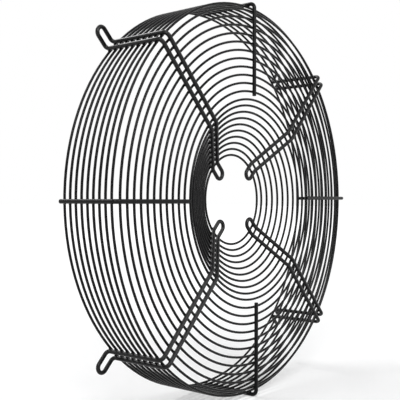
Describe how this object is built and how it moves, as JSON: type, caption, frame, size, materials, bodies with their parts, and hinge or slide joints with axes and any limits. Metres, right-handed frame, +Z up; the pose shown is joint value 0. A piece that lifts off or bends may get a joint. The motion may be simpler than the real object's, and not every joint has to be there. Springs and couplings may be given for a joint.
{
  "type": "fan guard",
  "caption": "Dished guard of concentric wire rings on doubled-wire supports, with a motor opening and slotted feet.",
  "frame": {"origin": "on the fan's axis, in the plane that the four feet bolt to", "axes": "-Y is the fan's axis out through the face, +X is right and +Z is up, seen from the front"},
  "size_m": [0.513, 0.0888, 0.513],
  "materials": {
    "powder_coat": "black powder coat, semi-gloss, over steel wire"
  },
  "bodies": {
    "root": {"cone_ring_1": "powder_coat", "cone_ring_2": "powder_coat", "cone_ring_3": "powder_coat", "cone_ring_4": "powder_coat", "cone_ring_5": "powder_coat", "cone_ring_6": "powder_coat", "cone_ring_7": "powder_coat", "cone_ring_8": "powder_coat", "cone_ring_9": "powder_coat", "face_ring_1": "powder_coat", "face_ring_2": "powder_coat", "face_ring_3": "powder_coat", "face_ring_4": "powder_coat", "face_ring_5": "powder_coat", "face_ring_6": "powder_coat", "face_ring_7": "powder_coat", "face_ring_8": "powder_coat", "face_ring_9": "powder_coat", "face_ring_10": "powder_coat", "face_ring_11": "powder_coat", "face_ring_12": "powder_coat", "wall_ring_1": "powder_coat", "wall_ring_2": "powder_coat", "wall_ring_3": "powder_coat", "wall_ring_4": "powder_coat", "wall_ring_5": "powder_coat", "wall_ring_6": "powder_coat", "wall_ring_7": "powder_coat", "wall_ring_8": "powder_coat", "wall_ring_9": "powder_coat", "support_upper_right": "powder_coat", "support_upper_left": "powder_coat", "support_lower_left": "powder_coat", "support_lower_right": "powder_coat", "rod_right": "powder_coat", "rod_top": "powder_coat", "rod_left": "powder_coat", "rod_bottom": "powder_coat"}
  },
  "joints": []
}
